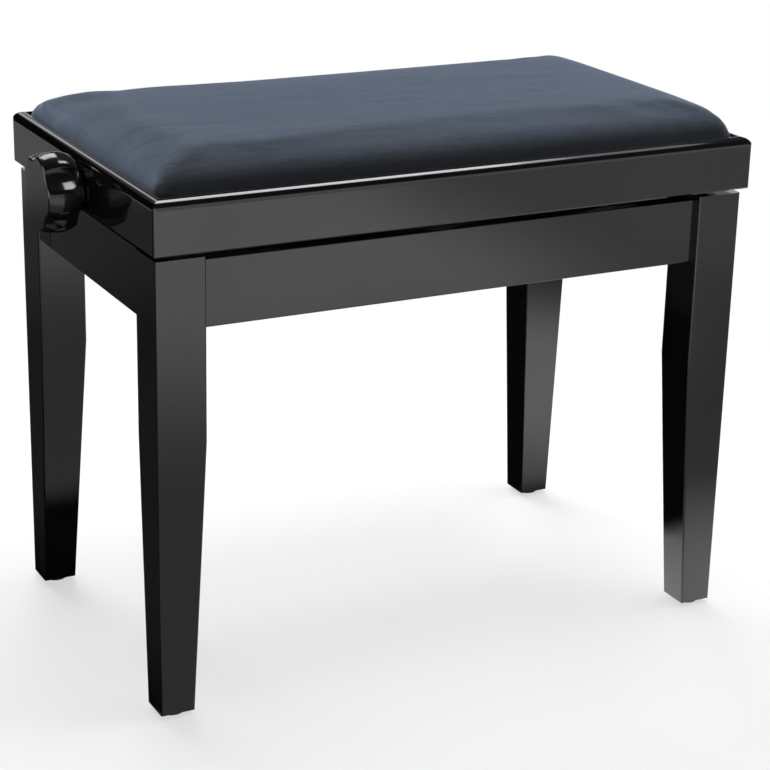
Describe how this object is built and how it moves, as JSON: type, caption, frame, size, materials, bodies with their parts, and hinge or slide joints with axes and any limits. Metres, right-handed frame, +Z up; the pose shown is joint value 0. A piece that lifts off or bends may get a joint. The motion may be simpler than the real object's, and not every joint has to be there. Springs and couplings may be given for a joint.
{
  "type": "piano bench",
  "caption": "Height-adjustable piano bench: black lacquered box frame on tapered square legs, padded velour seat raised on a steel scissor by a spindle with star knobs.",
  "frame": {"origin": "on the floor under the middle of the bench", "axes": "+X along the bench to the sitter's right as seen from the front, +Y to the back, +Z up"},
  "size_m": [0.6266, 0.335, 0.468],
  "materials": {
    "lacquer": "polished black lacquer on wood",
    "beech": "black stained beech",
    "plywood": "black stained plywood",
    "velour": "blue-black velour",
    "foam": "upholstery foam",
    "steel": "zinc plated",
    "black_steel": "satin black paint",
    "knob": "gloss black",
    "nylon": "black nylon"
  },
  "bodies": {
    "stand": {"leg_front_left": "lacquer", "leg_front_right": "lacquer", "leg_back_left": "lacquer", "leg_back_right": "lacquer", "apron_front": "lacquer", "apron_back": "lacquer", "apron_left": "lacquer", "apron_right": "lacquer", "corner_block_front_left": "beech", "corner_block_front_right": "beech", "corner_block_back_left": "beech", "corner_block_back_right": "beech", "leg_bolts": "steel", "leg_washers": "steel", "leg_nuts": "steel", "floor_glides": "nylon", "glide_nails": "steel", "lower_channel_front": "black_steel", "lower_channel_back": "black_steel", "lower_channel_screws": "steel", "lower_pivot_rivets": "steel"},
    "seat": {"seat_rail_front": "lacquer", "seat_rail_back": "lacquer", "seat_rail_left": "lacquer", "seat_rail_right": "lacquer", "seat_block_front_left": "beech", "seat_block_front_right": "beech", "seat_block_back_left": "beech", "seat_block_back_right": "beech", "seat_board": "plywood", "foam_pad": "foam", "seat_cover": "velour", "seat_screws": "steel", "upper_channel_front": "black_steel", "upper_channel_back": "black_steel", "upper_channel_screws": "steel", "upper_pivot_rivets": "steel", "spindle_bush_left": "nylon", "spindle_bush_right": "nylon"},
    "spindle": {"spindle": "steel", "spindle_collars": "steel", "grub_screws": "steel", "knob_left": "knob", "knob_right": "knob"},
    "traveller": {"traveller_nut": "steel", "traveller_axles": "steel", "traveller_guides": "nylon"},
    "outer_arms": {"outer_arm_front": "black_steel", "outer_arm_back": "black_steel", "scissor_rivets": "steel"},
    "inner_arms": {"inner_arm_front": "black_steel", "inner_arm_back": "black_steel", "lower_axle": "steel", "lower_guides": "nylon"}
  },
  "joints": [
    {"name": "seat_lift", "type": "slide", "parent": "stand", "child": "seat", "axis": [0, 0, 1], "range_m": [0, 0.09]},
    {"name": "spindle_turn", "type": "hinge", "parent": "seat", "child": "spindle", "pos_m": [0, 0, 0.414], "axis": [1, 0, 0], "range_deg": [0, 3215]},
    {"name": "traveller_slide", "type": "slide", "parent": "seat", "child": "traveller", "axis": [-1, 0, 0], "range_m": [0, 0.0268]},
    {"name": "outer_arm_swing", "type": "hinge", "parent": "stand", "child": "outer_arms", "pos_m": [-0.175, 0, 0.3505], "axis": [0, -1, 0], "range_deg": [0, 15.2]},
    {"name": "inner_arm_swing", "type": "hinge", "parent": "seat", "child": "inner_arms", "pos_m": [-0.175, 0, 0.414], "axis": [0, 1, 0], "range_deg": [0, 15.2]}
  ],
  "couplings": [
    {"joint": "spindle_turn", "follows": "seat_lift", "rad_per_m": 622.87},
    {"joint": "traveller_slide", "follows": "seat_lift", "ratio": 0.2974},
    {"joint": "outer_arm_swing", "follows": "seat_lift", "rad_per_m": 2.9412},
    {"joint": "inner_arm_swing", "follows": "seat_lift", "rad_per_m": 2.9412}
  ]
}
